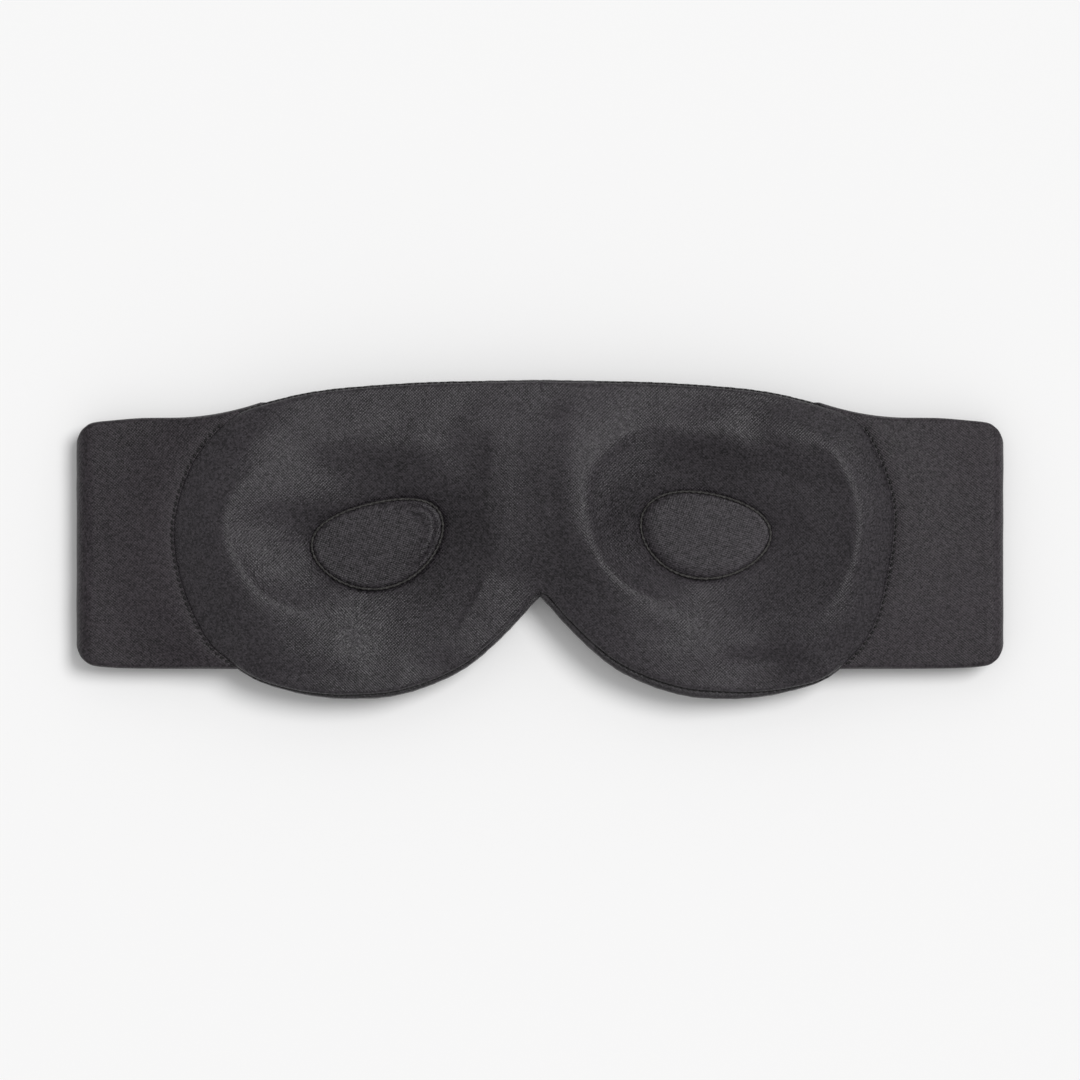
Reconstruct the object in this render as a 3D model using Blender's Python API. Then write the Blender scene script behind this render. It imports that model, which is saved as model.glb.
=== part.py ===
"""Padded sleep eye mask, lying flat with the face side up and both straps folded behind it."""

import math

import bmesh
import bpy
import numpy as np
from mathutils import Vector

MM = 0.001

# Driving dimensions, millimetres
HALF_LENGTH = 129.8  # middle to the outermost face of a folded strap
STRAP_TOP, STRAP_BOTTOM = 33.6, -36.0  # the strap's edges across the mask
STRAP_THICK = 2.4
FOLD_CORNER = 6.5  # rounding of the strap's folded corners, seen from above
GAP = 0.3  # between pieces that touch

REAR_Z = 0.0  # underside of the long rear strap
LOOP_Z = REAR_Z + STRAP_THICK + GAP
PATCH_THICK = 0.6
HOOK_Z = LOOP_Z + PATCH_THICK + GAP
TAB_Z = HOOK_Z + PATCH_THICK + GAP
SHELL_Z = TAB_Z + STRAP_THICK + 0.4
SHELL_THICK = 0.9
LINING_Z = SHELL_Z + SHELL_THICK + GAP
LINING_THICK = 0.5
FOAM_Z = LINING_Z + LINING_THICK + GAP
SIDE_Z = SHELL_Z  # underside of the front straps

LEDGE_THICK = 0.8  # foam under a window panel
EDGE_THICK = 3.4  # foam at its outer edge
CREST_Z = 19.8  # top of the foam round a bowl
BRIDGE_Z = 15.6  # top of the foam over the nose
BRIDGE_HALF = 8.0  # the bridge pad's half width
BRIDGE_BLEND = 26.0
EDGE_RISE = 13.0  # how far in from the seam the padding reaches its full height
LINER_LIFT = 0.4
LINER_THICK = 0.8
WINDOW_THICK = 0.9
CORD_R = 0.65
STITCH_R = 0.35
STITCH_IN = 2.2  # stitch line, in from the padding's edge
TONGUE = 7.0  # strap sewn in under the padding
TONGUE_THICK = 0.6

FOLD_R = (SIDE_Z - REAR_Z) / 2  # neutral radius of the fold
FOLD_X = HALF_LENGTH - FOLD_R - STRAP_THICK / 2  # where the flat straps end
FOLD_MID_Z = (SIDE_Z + REAR_Z + STRAP_THICK) / 2
# a quarter of a fold straightens about this point, out and up (or down) from the fold's centre
HINGE_OUT = FOLD_R * math.pi / 4
NOSE_HINGE_Z = LINING_Z + LINING_THICK + GAP / 2

RIGHT_STRAP_TIP = -95.0
LEFT_REAR_END = -118.0
LEFT_TAB_START = -97.0
LEFT_TAB_TIP = -30.0
NARROW = 26.0  # the straps' width where they lap
RIGHT_TAPER = (62.0, 8.0)  # where the right strap starts and ends its taper, clear of the nose notch
LEFT_TAPER = (-94.0, -66.0)
TIP_R = 8.0
LOOP_SPAN = (-90.0, -4.0)
HOOK_SPAN = (-64.0, -34.0)

# window panels: centre x, y, half length, half width, tilt in degrees, egg factor
WINDOW = {1: (46.2, 2.9, 18.4, 12.5, -5.0, -0.08), -1: (-45.0, -0.6, 18.5, 12.3, 17.0, 0.08)}
# bowl rims, the same way
RIM = {1: (50.4, 3.2, 39.0, 31.0, -20.0, 0.0), -1: (-48.8, 2.6, 38.0, 30.5, 20.0, 0.0)}

# shell outline of a half, from the middle of the top edge round to the notch; the side seam differs a little
TOP_EDGE = [(0.0, 44.4), (17.0, 44.1), (33.0, 43.7), (50.0, 42.6), (62.0, 41.3), (73.0, 39.0)]
SIDE_EDGE = {
    1: [(85.8, 35.0), (91.2, 30.2), (95.8, 21.1), (98.9, 10.3), (99.0, 1.0), (97.6, -9.0), (94.2, -22.5), (88.6, -31.6)],
    -1: [(85.0, 35.0), (94.2, 26.4), (99.6, 16.4), (102.4, 5.0), (102.0, -5.3), (98.6, -17.6), (93.0, -28.6), (87.6, -33.6)],
}
BOTTOM_EDGE = [(79.5, -39.0), (69.2, -42.4), (61.0, -43.9), (53.0, -44.4), (42.0, -43.8), (31.6, -41.0), (21.6, -36.3), (13.7, -30.1), (6.6, -23.4), (2.2, -18.7), (0.0, -17.2)]
PAD_INSET = 0.4
PAD_INSET_BOTTOM = {1: 1.7, -1: 0.8}  # how far the shell shows past the padding below a lobe

AROUND, ACROSS = 54, 8  # facets of a half's padding

CLOTH = {
    "shell": (0.040, 0.038, 0.040),
    "lining": (0.012, 0.012, 0.013),
    "foam": (0.050, 0.050, 0.055),
    "liner": (0.046, 0.043, 0.046),
    "window": (0.056, 0.053, 0.056),
    "cord": (0.105, 0.100, 0.104),
    "thread": (0.085, 0.080, 0.084),
    "strap": (0.044, 0.041, 0.043),
    "elastic": (0.030, 0.029, 0.030),
    "hook": (0.020, 0.020, 0.021),
    "loop": (0.026, 0.025, 0.026),
}


def smooth(t):
    t = np.clip(t, 0.0, 1.0)
    return t * t * (3 - 2 * t)


def spline(points, per=12):
    """A Catmull-Rom curve through the points, with its ends mirrored."""
    p = np.array(points, float)
    p = np.vstack([2 * p[0] - p[1], p, 2 * p[-1] - p[-2]])
    out = []
    for a, b, c, d in zip(p, p[1:], p[2:], p[3:]):
        for n in range(per):
            t = n / per
            out.append(0.5 * (2 * b + (c - a) * t + (2 * a - 5 * b + 4 * c - d) * t * t + (3 * b - a - 3 * c + d) * t**3))
    out.append(p[-2])
    return np.array(out)


def resample(line, count):
    """Points evenly spaced along a polyline, both ends included."""
    run = np.r_[0, np.cumsum(np.linalg.norm(np.diff(line, axis=0), axis=1))]
    at = np.linspace(0, run[-1], count)
    return np.stack([np.interp(at, run, line[:, 0]), np.interp(at, run, line[:, 1])], 1)


def shell_line(side):
    """The half's outline from the top middle to the notch, on its own side of x = 0."""
    line = spline(TOP_EDGE + SIDE_EDGE[side] + BOTTOM_EDGE)
    line[:, 0] = np.maximum(line[:, 0], 0)
    return line * (side, 1)


def inset(line, side, amount):
    """The outline moved in by an amount that may differ along it."""
    way = np.gradient(line, axis=0)
    way /= np.linalg.norm(way, axis=1)[:, None]
    inward = np.stack([way[:, 1], -way[:, 0]], 1) * side
    moved = line + inward * np.asarray(amount).reshape(-1, 1)
    moved[:, 0] = side * np.maximum(moved[:, 0] * side, 0)
    return moved


def pad_line(side, more=0.0):
    line = shell_line(side)
    way = np.gradient(line, axis=0)
    way /= np.linalg.norm(way, axis=1)[:, None]
    down = np.maximum(way[:, 0] * -side, 0)  # 1 where the edge faces down
    fade = smooth((84 - np.abs(line[:, 0])) / 40)
    return inset(line, side, PAD_INSET + PAD_INSET_BOTTOM[side] * down * fade + more)


def cut_inside(line, side, x_in):
    """The part of an outline beyond x_in, with points on the cut."""
    x = line[:, 0] * side
    keep = np.flatnonzero(x >= x_in)
    a, b = keep[0], keep[-1]
    def on_cut(p, q):
        t = (x_in - p[0] * side) / ((q[0] - p[0]) * side)
        return p + (q - p) * t
    first = on_cut(line[a - 1], line[a]) if a > 0 else line[a]
    last = on_cut(line[b], line[b + 1]) if b + 1 < len(line) else line[b]
    return np.vstack([first, line[a : b + 1], last])


def half_outline(line, side, x_in, count, inner=9):
    """A half's closed outline: evenly spaced along the edge, then straight up the middle."""
    edge = resample(cut_inside(line, side, x_in), count - inner)
    up = np.linspace(edge[-1], edge[0], inner + 2)[1:-1]
    return np.vstack([edge, up])


def egg(shape, angles):
    """Points of an egg-shaped oval whose polar angles about its centre are those given."""
    cx, cy, a, b, tilt, k = shape
    f = np.linspace(-math.pi, math.pi, 721)
    x, y = a * np.cos(f), b * np.sin(f) * (1 + k * np.cos(f))
    t = math.radians(tilt)
    x, y = x * math.cos(t) - y * math.sin(t), x * math.sin(t) + y * math.cos(t)
    polar, radius = np.arctan2(y, x), np.hypot(x, y)
    order = np.argsort(polar)
    polar, radius = polar[order], radius[order]
    return np.interp(angles, np.r_[polar - 2 * math.pi, polar, polar + 2 * math.pi], np.tile(radius, 3))


def reach(shape, centre, directions):
    """Distance from a centre inside an ellipse to it, along unit directions."""
    cx, cy, a, b, tilt, _ = shape
    t = math.radians(tilt)
    turn = np.array([[math.cos(t), math.sin(t)], [-math.sin(t), math.cos(t)]])
    p = turn @ (np.array(centre) - (cx, cy)) / (a, b)
    d = directions @ turn.T / (a, b)
    A, B, C = (d * d).sum(-1), (d * p).sum(-1), (p * p).sum() - 1
    return (-B + np.sqrt(B * B - A * C)) / A


def edge_distance(points, line):
    """Distance from each point to a polyline."""
    a, b = line[:-1], line[1:]
    ab = b - a
    long = (ab * ab).sum(1)
    keep = long > 1e-12
    a, ab, long = a[keep], ab[keep], long[keep]
    ap = points[:, None] - a[None]
    t = np.clip((ap * ab).sum(2) / long, 0, 1)
    return np.sqrt(((ap - ab * t[..., None]) ** 2).sum(2)).min(1)


WHOLE_EDGE = {side: pad_line(side) for side in (1, -1)}


def foam_top(points, side):
    """Height of the foam over flat points of a half, in millimetres."""
    points = np.asarray(points, float)
    shape = points.shape[:-1]
    flat = points.reshape(-1, 2)
    d = edge_distance(flat, np.vstack([WHOLE_EDGE[1][::-1], WHOLE_EDGE[-1]]))
    near = smooth(1 - np.abs(flat[:, 0]) / BRIDGE_BLEND)
    crest = CREST_Z + (BRIDGE_Z - CREST_Z) * near
    low = FOAM_Z + EDGE_THICK
    t = np.clip(d / EDGE_RISE, 0, 1)
    plateau = low + (crest - low) * np.sqrt(1 - (1 - t) ** 2)
    cx, cy = WINDOW[side][:2]
    rel = flat - (cx, cy)
    r = np.maximum(np.hypot(rel[:, 0], rel[:, 1]), 1e-6)
    inner = egg(WINDOW[side], np.arctan2(rel[:, 1], rel[:, 0]))
    outer = reach(RIM[side], (cx, cy), rel / r[:, None])
    u = (r - inner) / (outer - inner)
    floor = FOAM_Z + LEDGE_THICK
    return (floor + (plateau - floor) * smooth(u)).reshape(shape)


def material(name, cloth):
    m = bpy.data.materials.new(name)
    m.use_nodes = True
    shader = m.node_tree.nodes["Principled BSDF"]
    shader.inputs["Base Color"].default_value = (*CLOTH[cloth], 1.0)
    shader.inputs["Roughness"].default_value = 0.85
    m.diffuse_color = (*CLOTH[cloth], 1.0)
    return m


def pivot(name):
    """A point on the joint axis that a piece moves about, in millimetres."""
    side = -1 if name.startswith("left_") else 1
    out = side * (FOLD_X + HINGE_OUT)
    if name.endswith("_strap_fold"):
        return Vector((out, 0, FOLD_MID_Z + HINGE_OUT))
    if name in ("right_strap_rear", "loop_patch", "left_strap_rear", "left_elastic_section"):
        return Vector((out, 0, FOLD_MID_Z - HINGE_OUT))
    if name in ("left_strap_tab", "hook_patch"):
        return Vector((LEFT_REAR_END, 0, TAB_Z))
    return Vector((0, 0, NOSE_HINGE_Z if side < 0 else 0))


def make(name, cloth, points, faces, rounded=True):
    """An object from points in the mask's own frame, its origin on its joint's axis."""
    origin = pivot(name)
    mesh = bpy.data.meshes.new(name)
    mesh.from_pydata([tuple((float(c) - o) * MM for c, o in zip(p, origin)) for p in points], [], faces)
    work = bmesh.new()
    work.from_mesh(mesh)
    bmesh.ops.recalc_face_normals(work, faces=work.faces[:])
    work.to_mesh(mesh)
    work.free()
    obj = bpy.data.objects.new(name, mesh)
    obj.location = origin * MM
    bpy.context.scene.collection.objects.link(obj)
    obj.data.materials.append(material(name, cloth))
    for face in mesh.polygons:
        face.use_smooth = rounded
    return obj


def rings(name, cloth, loops, closed_ends="cap", rounded=True):
    """One closed solid from a row of loops of equal count: capped at both ends, or joined last to first."""
    count = len(loops[0])
    points = [p for loop in loops for p in loop]
    faces = []
    rows = len(loops)
    last = rows if closed_ends == "join" else rows - 1
    for k in range(last):
        a, b = k * count, ((k + 1) % rows) * count
        for i in range(count):
            j = (i + 1) % count
            faces.append((a + i, a + j, b + j, b + i))
    if closed_ends == "cap":
        faces.append(tuple(range(count)))
        faces.append(tuple(range((rows - 1) * count, rows * count)))
    return make(name, cloth, points, faces, rounded)


def plate(name, cloth, top, bottom, rounded=True):
    """One closed solid between two grids of equal size."""
    rows, cols = len(top), len(top[0])
    points = [p for row in top for p in row] + [p for row in bottom for p in row]
    size = rows * cols
    faces = []
    for i in range(rows - 1):
        for j in range(cols - 1):
            a, b, c, d = i * cols + j, (i + 1) * cols + j, (i + 1) * cols + j + 1, i * cols + j + 1
            faces.append((a, b, c, d))
            faces.append((size + d, size + c, size + b, size + a))
    rim = [j for j in range(cols)] + [i * cols + cols - 1 for i in range(1, rows)]
    rim += [(rows - 1) * cols + j for j in range(cols - 2, -1, -1)] + [i * cols for i in range(rows - 2, 0, -1)]
    for a, b in zip(rim, rim[1:] + rim[:1]):
        faces.append((a, b, size + b, size + a))
    return make(name, cloth, points, faces, rounded)


def lift(loop, z):
    z = np.broadcast_to(z, (len(loop),))
    return [(p[0], p[1], h) for p, h in zip(loop, z)]


def disc(name, cloth, loop, z, thick, bevel=0.0):
    """A flat panel, its edge eased by a bevel."""
    if not bevel:
        return rings(name, cloth, [lift(loop, z), lift(loop, z + thick)], rounded=False)
    middle = loop.mean(0)
    size = np.linalg.norm(loop - middle, axis=1)
    small = middle + (loop - middle) * ((size - bevel) / size)[:, None]
    return rings(name, cloth, [lift(small, z), lift(loop, z + bevel), lift(loop, z + thick - bevel), lift(small, z + thick)])


def tube(name, cloth, path, radius, sides=6, closed=False):
    """A cord along a path."""
    path = np.asarray(path, float)
    n = len(path)
    loops = []
    for i, p in enumerate(path):
        if closed:
            along = path[(i + 1) % n] - path[i - 1]
        else:
            along = path[min(i + 1, n - 1)] - path[max(i - 1, 0)]
        along = along / np.linalg.norm(along)
        across = np.cross((0, 0, 1.0), along)
        across /= np.linalg.norm(across)
        up = np.cross(along, across)
        loops.append([p + radius * (math.cos(a) * across + math.sin(a) * up) for a in (2 * math.pi * k / sides for k in range(sides))])
    return rings(name, cloth, loops, "join" if closed else "cap")


def strap_rows(first=STRAP_BOTTOM, last=STRAP_TOP):
    """Stations across a strap, closer together at its rounded edges."""
    near = [0.0, 0.25, 1.0, 2.6, 5.2, 9.0]
    ys = [first + v for v in near] + [last - v for v in reversed(near)]
    middle = np.linspace(first + 9.0, last - 9.0, 5)[1:-1]
    return sorted(ys + list(middle))


def fold_pull(y):
    """How far the rounded corner draws a fold inwards at a station across the strap."""
    over = max(0.0, FOLD_CORNER - min(y - STRAP_BOTTOM, STRAP_TOP - y))
    over = min(over, FOLD_CORNER * 0.985)
    return FOLD_CORNER - math.sqrt(FOLD_CORNER**2 - over**2)


def ease(y, thick):
    """A strap is thinner at its turned edges."""
    near = min(y - STRAP_BOTTOM, STRAP_TOP - y)
    return thick * (0.55 + 0.45 * math.sqrt(max(0.0, 1 - (1 - min(near / 1.0, 1)) ** 2)))


def build_half(side):
    name = "right" if side > 0 else "left"

    # outer shell
    loop = half_outline(shell_line(side), side, 0.2, 60)
    disc(name + "_outer_shell", "shell", loop, SHELL_Z, SHELL_THICK, 0.3)

    # blackout lining, clear of the strap's tongue
    line = inset(shell_line(side), side, 2.5 + (TONGUE + 1.6) * smooth((np.abs(shell_line(side)[:, 0]) - 70) / 16))
    disc(name + "_blackout_lining", "lining", half_outline(line, side, 1.0, 48), LINING_Z, LINING_THICK)

    # foam, with a ledge and a hole under the window
    centre = np.array(WINDOW[side][:2])
    outline = half_outline(pad_line(side), side, BRIDGE_HALF + GAP, AROUND)
    rel = outline - centre
    far = np.hypot(rel[:, 0], rel[:, 1])
    way = rel / far[:, None]
    polar = np.arctan2(rel[:, 1], rel[:, 0])
    window = egg(WINDOW[side], polar)
    rim = reach(RIM[side], centre, way)
    rim = np.minimum(rim, window + 0.86 * (far - window))

    def ring(radius):
        return centre + way * np.asarray(radius)[:, None]

    stations = []
    for t in (0.0, 0.2, 0.42, 0.68, 1.0):
        stations.append(window + (rim - window) * t)
    for t in (0.45, 0.75, 0.93, 1.0):
        stations.append(rim + (far - rim) * t)
    tops = [foam_top(ring(r), side) for r in stations]
    hole = ring(window * 0.72)
    loops = [lift(hole, FOAM_Z), lift(hole, FOAM_Z + LEDGE_THICK)]
    loops += [lift(ring(r), z) for r, z in zip(stations, tops)]
    loops += [lift(ring(stations[-1]), FOAM_Z)]
    rings(name + "_foam_pad", "foam", loops, "join")

    # face liner over it, from the window's edge out
    lower = [lift(ring(r), z + LINER_LIFT) for r, z in zip(stations, tops)]
    upper = [lift(ring(r), z + LINER_LIFT + LINER_THICK) for r, z in zip(stations, tops)]
    rings(name + "_face_liner", "liner", lower + upper[::-1], "join")

    # window panel on the ledge, and the cord over its seam
    full = np.linspace(0, 2 * math.pi, 44, endpoint=False)
    unit = np.stack([np.cos(full), np.sin(full)], 1)
    oval = egg(WINDOW[side], full)
    panel = centre + unit * (oval - GAP - 0.3)[:, None]
    z = FOAM_Z + LEDGE_THICK + GAP
    disc(name + "_eye_window", "window", panel, z, WINDOW_THICK)
    cord_z = max(z + WINDOW_THICK, FOAM_Z + LEDGE_THICK + LINER_LIFT + LINER_THICK) + GAP + CORD_R
    path = np.column_stack([centre + unit * (oval - 0.9)[:, None], np.full(len(full), cord_z)])
    tube(name + "_window_cord", "cord", path, CORD_R, 6, True)

    # stitch line round the padding's edge
    line = cut_inside(pad_line(side, STITCH_IN), side, BRIDGE_HALF + GAP + 0.6)
    line = resample(line, 60)
    height = foam_top(line, side) + LINER_LIFT + LINER_THICK + GAP + STITCH_R + 0.35
    tube(name + "_edge_stitch", "thread", np.column_stack([line, height]), STITCH_R, 4)

    # front strap, its tongue sewn in under the padding
    edge = shell_line(side)
    edge = edge[np.abs(edge[:, 0]) > 78]
    order = np.argsort(edge[:, 1])
    ys = strap_rows()
    seam = np.interp(ys, edge[order, 1], np.abs(edge[order, 0]))
    fine = np.linspace(STRAP_BOTTOM, STRAP_TOP, 200)
    seam_fine = np.interp(fine, edge[order, 1], np.abs(edge[order, 0]))
    top, bottom = [], []
    for y, s in zip(ys, seam):
        out = s + 0.8
        thick = ease(y, STRAP_THICK)
        end = FOLD_X - GAP - fold_pull(y)
        mid = SIDE_Z + STRAP_THICK / 2
        tongue = s - TONGUE * smooth((min(y - STRAP_BOTTOM, STRAP_TOP - y) + 1.5) / 9.0)
        xs = [tongue, out, out + 0.2, out + 1.8, (out + 1.8 + end) / 2, end]
        low = [LINING_Z, LINING_Z] + [mid - thick / 2] * 4
        high = [LINING_Z + TONGUE_THICK] * 3 + [mid + thick / 2] * 3
        top.append([(side * x, y, h) for x, h in zip(xs, high)])
        bottom.append([(side * x, y, h) for x, h in zip(xs, low)])
    plate(name + "_side_panel", "strap", top, bottom)

    # fold behind the mask
    steps = 11
    top, bottom = [], []
    for y in ys:
        thick = ease(y, STRAP_THICK)
        a_row, b_row = [], []
        for k in range(steps):
            a = math.pi / 2 - math.pi * k / (steps - 1)
            x0 = FOLD_X - fold_pull(y)
            zc = FOLD_MID_Z
            for row, r in ((a_row, FOLD_R + thick / 2), (b_row, FOLD_R - thick / 2)):
                row.append((side * (x0 + r * math.cos(a)), y, zc + r * math.sin(a)))
        top.append(a_row)
        bottom.append(b_row)
    plate(name + "_strap_fold", "strap", top, bottom)


def strap(name, cloth, stations, z_of, width_of, start_pull=None, end_pull=None, flat_bottom=False):
    """A flat strap length through stations along x, its width scaled about its middle; the pulls round its end corners."""
    middle = (STRAP_TOP + STRAP_BOTTOM) / 2
    top, bottom = [], []
    way = 1 if stations[-1] > stations[0] else -1
    for y in strap_rows():
        thick = ease(y, STRAP_THICK)
        a_row, b_row = [], []
        for n, x in enumerate(stations):
            wide = width_of(x)
            z = z_of(x) + STRAP_THICK / 2
            at = x
            if n == 0 and start_pull:
                at = x + way * start_pull(y)
            if n == len(stations) - 1 and end_pull:
                at = x - way * end_pull(y, wide)
            down = STRAP_THICK / 2 if flat_bottom else thick / 2
            across = middle + (y - middle) * wide
            a_row.append((at, across, z + thick / 2))
            b_row.append((at, across, z - down))
        top.append(a_row)
        bottom.append(b_row)
    return plate(name, cloth, top, bottom)


def tip_pull(y, wide):
    near = min(y - STRAP_BOTTOM, STRAP_TOP - y) * wide
    over = min(max(0.0, TIP_R - near), TIP_R * 0.985)
    return TIP_R - math.sqrt(TIP_R**2 - over**2)


def taper(x, wide_at, narrow_at):
    """The strap's width as a share of its full width, narrowing towards its tip."""
    share = NARROW / (STRAP_TOP - STRAP_BOTTOM)
    return 1 + (share - 1) * float(smooth((x - wide_at) / (narrow_at - wide_at)))


def build_straps():
    one = lambda x: 1.0
    xs = [FOLD_X - GAP, 92.0, RIGHT_TAPER[0]]
    xs += list(np.linspace(*RIGHT_TAPER, 9))[1:]
    xs += [-40.0, RIGHT_STRAP_TIP + 10, RIGHT_STRAP_TIP]
    strap("right_strap_rear", "strap", xs, lambda x: REAR_Z, lambda x: taper(x, *RIGHT_TAPER), fold_pull, tip_pull, True)

    xs = [-(FOLD_X - GAP), LEFT_REAR_END - 1.5, LEFT_REAR_END]
    strap("left_strap_rear", "strap", xs, lambda x: REAR_Z, one, fold_pull, None, True)

    a, b = LEFT_REAR_END + GAP, LEFT_TAB_START - GAP
    ramp = lambda x: REAR_Z + (TAB_Z - REAR_Z) * float(smooth((x - a) / (b - a)))
    strap("left_elastic_section", "elastic", list(np.linspace(a, b, 9)), ramp, one)

    xs = [LEFT_TAB_START, LEFT_TAPER[0]] + list(np.linspace(*LEFT_TAPER, 8))[1:] + [LEFT_TAB_TIP - 8, LEFT_TAB_TIP]
    strap("left_strap_tab", "strap", xs, lambda x: TAB_Z, lambda x: taper(x, *LEFT_TAPER), None, tip_pull)

    def patch(name, cloth, span, z, radius, high):
        middle = (STRAP_TOP + STRAP_BOTTOM) / 2
        xs = (span[0] + radius, span[1] - radius)
        ys = (middle - high / 2 + radius, middle + high / 2 - radius)
        loop = []
        for cx, cy, start in ((xs[1], ys[0], -90), (xs[1], ys[1], 0), (xs[0], ys[1], 90), (xs[0], ys[0], 180)):
            for k in range(6):
                a = math.radians(start + 90 * k / 5)
                loop.append((cx + radius * math.cos(a), cy + radius * math.sin(a)))
        disc(name, cloth, np.array(loop), z, PATCH_THICK)
    patch("loop_patch", "loop", LOOP_SPAN, LOOP_Z, 4.0, NARROW - 5.0)
    patch("hook_patch", "hook", HOOK_SPAN, HOOK_Z, 4.0, NARROW - 6.0)


def build_bridge():
    """Foam and liner over the nose, between the halves."""
    columns, rows = 9, 15
    xs = np.linspace(-BRIDGE_HALF, BRIDGE_HALF, columns)
    edge = {s: WHOLE_EDGE[s] for s in (1, -1)}
    top, bottom = [], []
    for x in xs:
        side = 1 if x >= 0 else -1
        line = edge[side]
        ax = np.abs(line[:, 0])
        upper = line[: len(line) // 3]
        lower = line[-len(line) // 3 :]
        y1 = np.interp(abs(x), np.abs(upper[:, 0]), upper[:, 1])
        y0 = np.interp(abs(x), np.abs(lower[::-1, 0]), lower[::-1, 1])
        ts = 0.5 - 0.5 * np.cos(np.linspace(0, math.pi, rows))
        column = np.column_stack([np.full(rows, x), y0 + (y1 - y0) * ts])
        high = foam_top(column, side) + LINER_LIFT + LINER_THICK
        top.append([(p[0], p[1], z) for p, z in zip(column, high)])
        bottom.append([(p[0], p[1], FOAM_Z) for p in column])
    plate("nose_bridge_pad", "liner", top, bottom)


def main():
    for obj in list(bpy.data.objects):
        bpy.data.objects.remove(obj, do_unlink=True)
    build_half(1)
    build_half(-1)
    build_bridge()
    build_straps()


main()
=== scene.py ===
"""Looks of the padded sleep eye mask: satin-covered pad, windows, cords, stitches and straps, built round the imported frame."""

import math

import bmesh
import bpy
import numpy as np
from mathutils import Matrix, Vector
from mathutils.kdtree import KDTree


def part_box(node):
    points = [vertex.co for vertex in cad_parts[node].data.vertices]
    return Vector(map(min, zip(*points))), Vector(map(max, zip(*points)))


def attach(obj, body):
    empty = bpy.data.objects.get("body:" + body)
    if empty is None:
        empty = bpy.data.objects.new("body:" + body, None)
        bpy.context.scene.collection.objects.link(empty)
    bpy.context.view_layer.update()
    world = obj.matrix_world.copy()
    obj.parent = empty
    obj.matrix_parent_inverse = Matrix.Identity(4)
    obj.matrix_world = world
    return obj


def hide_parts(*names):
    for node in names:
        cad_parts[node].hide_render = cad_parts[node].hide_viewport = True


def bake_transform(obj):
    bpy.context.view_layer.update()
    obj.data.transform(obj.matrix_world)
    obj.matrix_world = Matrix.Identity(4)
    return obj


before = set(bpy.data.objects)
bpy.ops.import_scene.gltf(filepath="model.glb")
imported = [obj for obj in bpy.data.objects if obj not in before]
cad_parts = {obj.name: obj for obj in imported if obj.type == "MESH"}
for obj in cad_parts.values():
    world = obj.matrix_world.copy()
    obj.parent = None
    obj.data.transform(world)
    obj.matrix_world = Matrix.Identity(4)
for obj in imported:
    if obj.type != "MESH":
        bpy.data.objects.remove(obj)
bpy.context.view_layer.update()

MM = 0.001

# ---------------------------------------------------------------- sizes shared with the frame, millimetres
HALF_LENGTH = 129.8
STRAP_TOP, STRAP_BOTTOM = 33.6, -36.0
STRAP_THICK = 2.4
SHELL_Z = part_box("right_outer_shell")[0].z / MM
STRAP_MID = SHELL_Z + STRAP_THICK / 2
REAR_MID = STRAP_THICK / 2
FOLD_R = SHELL_Z / 2
FOLD_X = HALF_LENGTH - FOLD_R - STRAP_THICK / 2
FOLD_MID_Z = (SHELL_Z + STRAP_THICK) / 2
TAB_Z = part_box("left_strap_tab")[0].z / MM
RIGHT_STRAP_TIP = -95.0
LEFT_REAR_END, LEFT_TAB_START, LEFT_TAB_TIP = -118.0, -97.0, -30.0
NARROW = 26.0
RIGHT_TAPER, LEFT_TAPER = (62.0, 8.0), (-94.0, -66.0)
TIP_R = 8.0

WINDOW = {1: (46.2, 3.6, 18.3, 12.0, -7.4, -0.08, 0.17, 0.1, -0.65), -1: (-44.9, -0.6, 18.75, 12.0, 14.3, -0.02, 0.25, -0.53, 1.84)}
# distance of each bowl's rim from its window's centre, by bearing in degrees
RIM = {
    1: [(-90, 29.5), (-75, 36.0), (-58, 40.0), (-42, 40.8), (-21, 41.2), (-6, 42.2), (9, 42.5), (24, 41.2), (44, 39.6), (65, 34.5), (90, 30.0), (110, 30.8), (129, 33.6), (148, 35.6), (162, 35.3), (178, 32.8), (196, 31.0), (212, 28.8), (228, 25.8), (243, 23.6), (256, 25.0)],
    -1: [(-121, 27.5), (-106, 31.5), (-90, 34.5), (-60, 33.5), (-30, 31.0), (0, 30.0), (30, 29.0), (60, 27.5), (90, 27.0), (112, 29.0), (135, 34.0), (152, 39.5), (162, 42.6), (171, 43.4), (183, 41.0), (195, 37.8), (210, 33.3), (226, 28.4)],
}
TOP_EDGE = [(0.0, 44.4), (17.0, 44.1), (33.0, 43.7), (50.0, 42.6), (62.0, 41.3), (73.0, 39.0)]
SIDE_EDGE = {
    1: [(85.8, 35.0), (91.2, 30.2), (95.8, 21.1), (98.9, 10.3), (99.0, 1.0), (97.6, -9.0), (94.2, -22.5), (88.6, -31.6)],
    -1: [(85.0, 35.0), (94.2, 26.4), (99.6, 16.4), (102.4, 5.0), (102.0, -5.3), (98.6, -17.6), (93.0, -28.6), (87.6, -33.6)],
}
BOTTOM_EDGE = [(79.5, -39.0), (69.2, -42.4), (61.0, -43.9), (53.0, -44.4), (42.0, -43.8), (31.6, -41.0), (21.6, -36.3), (13.7, -30.1), (6.6, -23.0), (2.2, -18.0), (0.0, -15.9)]
PAD_INSET = 0.4
PAD_INSET_BOTTOM = {1: 1.7, -1: 0.8}

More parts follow.
